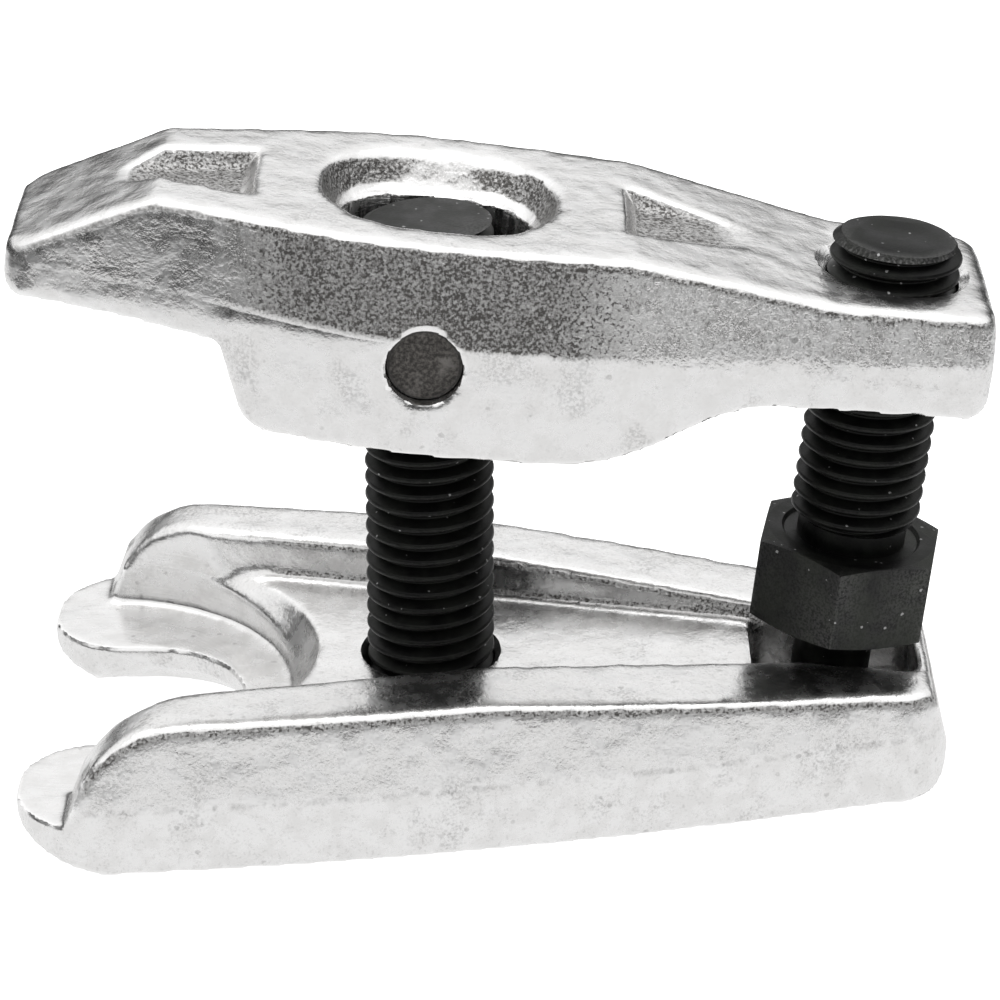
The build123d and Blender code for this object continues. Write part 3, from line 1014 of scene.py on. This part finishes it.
@dataclass
class PressureScrew:
    """The screw with its hexagon, neck and ball cup. Lengths in millimetres, on the screw's axis."""

    thread: Thread = Thread()
    top: float = 16.4
    lead_in: float = 1.2
    dish: float = 5.6
    dish_depth: float = 0.5
    dish_flare: float = 1.2
    hex_top: float = -28.2
    hex_height: float = 12.5
    hex_chamfer: float = 16.0
    hex_inset: float = 0.25
    hex_face_room: float = 0.03
    hex_corner_room: float = 0.02
    across_flats: float = 24.0
    hex_turn: float = 20.4
    ring_radius: float = 9.75
    ring_depth: float = 0.5
    ring_flare: float = 0.4
    relief: float = 7.6
    relief_length: float = 2.6
    neck: float = 5.5
    neck_chamfer: float = 0.8
    neck_foot: float = -52.61
    ball_level: float = -51.01
    ball_radius: float = 4.05
    crest_room: float = 0.01
    overcut: float = 0.5
    shoulder: float = 0.1
    run_out: float = 0.3

    def build(self) -> bpy.types.Object:
        """Cut the thread, then join the hexagon and the neck.

        Returns:
            The finished screw.
        """
        major = self.thread.major
        clear = major + self.crest_room
        core = self.thread.sunk - 1.0
        thread_foot = self.hex_top + self.relief_length
        hex_foot = self.hex_top - self.hex_height
        screw = self.thread.rod("pressure_screw_thread", thread_foot, self.top)
        envelope = turned(
            "envelope",
            [
                (thread_foot - self.run_out, self.relief - self.run_out),
                (thread_foot + self.lead_in, clear),
                (self.top - self.lead_in, clear),
                (self.top, major - self.lead_in),
            ],
        )
        combine(screw, envelope, Cut.KEEP)
        dish = turned(
            "dish",
            [
                (self.top - self.dish_depth, self.dish - self.dish_flare),
                (self.top + self.overcut, self.dish + self.dish_flare),
            ],
        )
        combine(screw, dish, Cut.AWAY)
        shank = turned(
            "shank",
            [
                (self.neck_foot, self.neck - self.neck_chamfer),
                (self.neck_foot + self.neck_chamfer, self.neck),
                (hex_foot + self.overcut, self.neck),
                (hex_foot + self.overcut + self.shoulder, self.relief),
                (thread_foot + self.overcut, self.relief),
                (thread_foot + self.overcut + self.shoulder, core),
                (thread_foot + 4 * self.overcut, core),
            ],
        )
        combine(screw, shank, Cut.JOIN)
        combine(screw, self.hexagon(), Cut.JOIN)
        bpy.ops.object.select_all(action="DESELECT")
        bpy.ops.mesh.primitive_uv_sphere_add(
            segments=48,
            ring_count=24,
            radius=self.ball_radius * MM,
            location=(0.0, 0.0, self.ball_level * MM),
        )
        cup = settle(bpy.context.active_object)
        combine(screw, cup, Cut.AWAY)
        clean(screw)
        screw.data.materials.clear()
        screw.data.materials.append(BlackOxide("pressure_screw_black", SCREW_FRAME).material())
        screw.data.materials.append(BlackOxide("hexagon_black", SCREW_FRAME, 0.25, True, 2.0).material())
        for face in screw.data.polygons:
            centre = face.center / MM
            level = hex_foot - self.crest_room < centre.z < self.hex_top + self.crest_room
            on_hexagon = level and centre.xy.length > self.relief
            face.material_index = int(on_hexagon)
        settle(screw, SCREW_FRAME)
        smooth_shading(screw)
        finish_piece(screw, Body.SCREW, "pressure_screw")
        return screw

    def hexagon(self) -> bpy.types.Object:
        """Make the hexagon with chamfered corners and a turned ring in its top.

        Returns:
            The hexagon.
        """
        foot = self.hex_top - self.hex_height
        corner = self.across_flats / math.sqrt(3.0)
        end = self.across_flats / 2 - self.hex_inset
        chamfer = (corner - end) * math.tan(math.radians(self.hex_chamfer)) + self.hex_face_room
        hexagon = cylinder("hexagon", corner, foot, self.hex_top, 6)
        turn = Matrix.Rotation(math.radians(self.hex_turn + 30.0), 4, "Z")
        settle(hexagon, turn)
        round_ends = turned(
            "round_ends",
            [
                (foot, end),
                (foot + chamfer, corner + self.hex_corner_room),
                (self.hex_top - chamfer, corner + self.hex_corner_room),
                (self.hex_top, end),
            ],
        )
        combine(hexagon, round_ends, Cut.KEEP)
        ring = turned(
            "ring",
            [
                (self.hex_top - self.ring_depth, self.ring_radius - self.ring_flare),
                (self.hex_top + self.overcut, self.ring_radius + self.ring_flare),
            ],
        )
        combine(hexagon, ring, Cut.AWAY)
        return hexagon


@dataclass
class PivotPin:
    """The pin across the lever's hub. Lengths in millimetres."""

    radius: float = 5.0
    half: float = 22.5
    chamfer: float = 0.4
    dimple: float = 0.15
    dimple_width: float = 0.6

    def build(self) -> bpy.types.Object:
        """Turn the pin, with chamfered and slightly crowned ends.

        Returns:
            The finished pin.
        """
        half, radius = self.half, self.radius
        rim = radius - self.chamfer
        pin = turned(
            "pivot_pin_turned",
            [
                (-half, rim - self.dimple_width),
                (-half + self.dimple, rim),
                (-half + self.chamfer + self.dimple, radius),
                (half - self.chamfer - self.dimple, radius),
                (half - self.dimple, rim),
                (half, rim - self.dimple_width),
            ],
        )
        settle(pin, LEVER_FRAME @ LAID_DOWN)
        pin.data.materials.append(DarkPin("pin_dark", LEVER_FRAME).material())
        smooth_shading(pin)
        finish_piece(pin, Body.LEVER, "pivot_pin")
        return pin


@dataclass
class ThrustBall:
    """The ball in the screw's tip, kept as the CAD has it."""

    def dress(self) -> None:
        """Give the ball its steel."""
        ball = frame["nodes"]["thrust_ball"]
        ball.data.materials.clear()
        ball.data.materials.append(BallSteel().material())
        log.info("%s: dressed", ball.name)


@dataclass
class Studio:
    """Floor, lights and camera. Lengths in metres."""

    floor_size: float = 12.0
    backdrop_height: float = 9.0
    shine_radius: float = 0.50
    aim: Vector = field(default_factory=lambda: Vector((-0.0002, 0.0138, 0.0319)))
    distance: float = 0.566
    down: float = 25.319
    turn: float = 0.294
    lens: float = 141.946
    lamp_place: tuple[float, float, float] = (0.0, 0.10, 1.3)
    lamp_size: tuple[float, float] = (1.7, 1.2)
    lamp_power: float = 6.0
    floor_glow: float = 0.62
    shine_glow: float = 1.0
    sky: tuple[tuple[float, float], ...] = (
        (0.0, 0.03),
        (0.20, 0.04),
        (0.33, 1.12),
        (0.60, 1.22),
        (1.0, 1.22),
    )

    def build(self) -> None:
        """Set the floor, the lights and the camera."""
        self.floor()
        self.backdrop()
        self.softbox("softbox_top")
        self.world()
        self.camera()
        bpy.context.scene.view_settings.view_transform = "Standard"

    def floor(self) -> None:
        """Lay a plain pale floor, of which the object mirrors only the lit middle."""
        bpy.ops.object.select_all(action="DESELECT")
        bpy.ops.mesh.primitive_plane_add(size=self.floor_size)
        wide = bpy.context.active_object
        wide.name = "floor"
        wide.visible_glossy = False
        bpy.ops.object.select_all(action="DESELECT")
        bpy.ops.mesh.primitive_circle_add(vertices=96, radius=self.shine_radius, fill_type="NGON")
        middle = bpy.context.active_object
        middle.name = "floor_middle"
        middle.visible_camera = False
        middle.visible_diffuse = False
        middle.visible_shadow = False
        for sheet, level in ((wide, self.floor_glow), (middle, self.shine_glow)):
            white = Paint(sheet.name)
            finish = white.surface(
                Base_Color=grey(0.85 if sheet is wide else 0.0),
                Roughness=0.9,
                Emission_Color=grey(1.0),
                Emission_Strength=level,
            )
            sheet.data.materials.append(finish)

    def backdrop(self) -> None:
        """Stand a plain white wall round the floor's edge, which the object doesn't mirror."""
        bpy.ops.object.select_all(action="DESELECT")
        bpy.ops.mesh.primitive_cylinder_add(
            vertices=64, radius=self.floor_size / 2, depth=self.backdrop_height, end_fill_type="NOTHING"
        )
        wall = bpy.context.active_object
        wall.name = "backdrop"
        wall.visible_glossy = False
        wall.visible_diffuse = False
        wall.visible_shadow = False
        white = Paint(wall.name)
        finish = white.surface(
            Base_Color=grey(0.0),
            Roughness=0.9,
            Emission_Color=grey(1.0),
            Emission_Strength=self.shine_glow,
        )
        wall.data.materials.append(finish)

    def softbox(self, name: str) -> None:
        """Hang the softbox so that it points at the object."""
        lamp = bpy.data.lights.new(name, "AREA")
        lamp.shape = "RECTANGLE"
        lamp.size, lamp.size_y = self.lamp_size
        lamp.energy = self.lamp_power
        hung = bpy.data.objects.new(name, lamp)
        bpy.context.scene.collection.objects.link(hung)
        hung.location = self.lamp_place
        hung.rotation_euler = (Vector(self.lamp_place) - self.aim).to_track_quat("Z", "Y").to_euler()

    def world(self) -> None:
        """Make the room: dark walls, a pale ceiling."""
        world = bpy.data.worlds.new("room")
        bpy.context.scene.world = world
        world.use_nodes = True
        tree = world.node_tree
        tree.nodes.clear()
        place = tree.nodes.new("ShaderNodeTexCoord")
        split = tree.nodes.new("ShaderNodeSeparateXYZ")
        ramp = tree.nodes.new("ShaderNodeValToRGB")
        shade = tree.nodes.new("ShaderNodeBackground")
        output = tree.nodes.new("ShaderNodeOutputWorld")
        elements = ramp.color_ramp.elements
        elements.remove(elements[-1])
        elements[0].position, elements[0].color = self.sky[0][0], grey(self.sky[0][1])
        for position, level in self.sky[1:]:
            elements.new(position).color = grey(level)
        tree.links.new(place.outputs["Generated"], split.inputs[0])
        tree.links.new(split.outputs["Z"], ramp.inputs["Fac"])
        tree.links.new(ramp.outputs["Color"], shade.inputs["Color"])
        tree.links.new(shade.outputs["Background"], output.inputs["Surface"])

    def camera(self) -> None:
        """Set the camera."""
        lens = bpy.data.cameras.new("camera")
        lens.lens = self.lens
        lens.sensor_width = 36.0
        lens.clip_start = 0.01
        seen = bpy.data.objects.new("camera", lens)
        bpy.context.scene.collection.objects.link(seen)
        seen.rotation_euler = (math.radians(90.0 - self.down), 0.0, math.radians(self.turn))
        back = seen.rotation_euler.to_matrix() @ Vector((0.0, 0.0, self.distance))
        seen.location = self.aim + back
        bpy.context.scene.camera = seen


def main() -> None:
    """Build every piece in order, then the studio."""
    for piece in (Fork(), EyeBolt(), Lever(), PivotPin(), PressureScrew()):
        piece.build()
    ThrustBall().dress()
    Studio().build()


if __name__ == "__main__":
    main()
